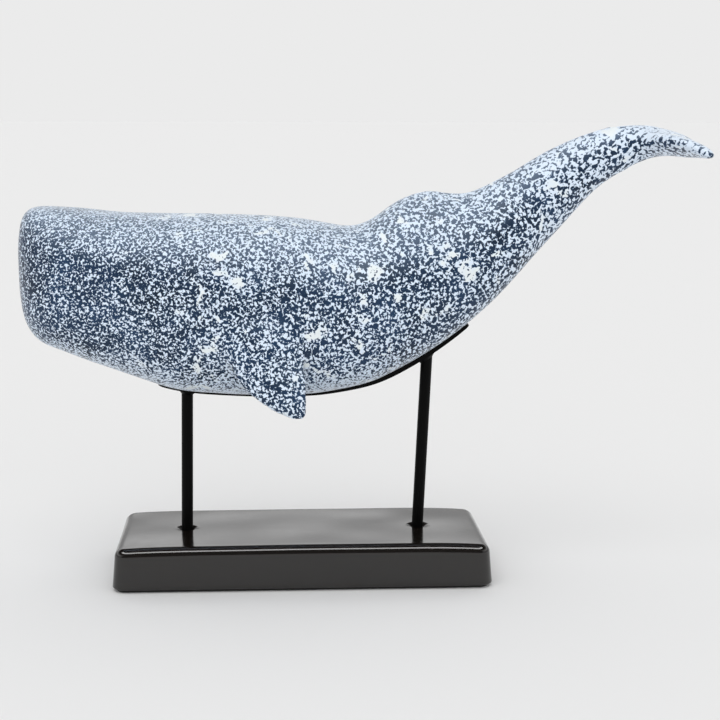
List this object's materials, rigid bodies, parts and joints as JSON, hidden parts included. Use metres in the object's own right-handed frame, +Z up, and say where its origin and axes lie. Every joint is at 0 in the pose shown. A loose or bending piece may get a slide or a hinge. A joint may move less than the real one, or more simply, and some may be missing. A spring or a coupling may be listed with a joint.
{
  "type": "whale figurine",
  "caption": "Speckled glazed ceramic sperm whale with a raised tail, held in a bent steel strap on thin rods above a glossy black rectangular base.",
  "frame": {"origin": "middle of the underside of the base's felt, where the ornament stands on a table", "axes": "+Z up, +X from the nose towards the tail, +Y towards the whale's right flipper"},
  "size_m": [0.4663, 0.124, 0.3148],
  "materials": {
    "speckled_glaze": "satin navy glaze densely flecked with white",
    "black_steel": "satin black",
    "epoxy": "cured, semi-matt",
    "black_glaze": "glossy black glaze",
    "washer_rubber": "matt black",
    "zinc_steel": "zinc plated",
    "felt": "black felt"
  },
  "bodies": {
    "root": {"whale_shell": "speckled_glaze", "left_pectoral_fin": "speckled_glaze", "right_pectoral_fin": "speckled_glaze", "tail_fluke": "speckled_glaze", "cradle_strap": "black_steel", "front_rod": "black_steel", "rear_rod": "black_steel", "front_rod_weld": "black_steel", "rear_rod_weld": "black_steel", "front_socket_epoxy": "epoxy", "rear_socket_epoxy": "epoxy", "pedestal_base": "black_glaze", "front_rubber_washer": "washer_rubber", "rear_rubber_washer": "washer_rubber", "front_flat_washer": "zinc_steel", "rear_flat_washer": "zinc_steel", "front_hex_nut": "zinc_steel", "rear_hex_nut": "zinc_steel", "base_felt": "felt"}
  },
  "joints": []
}
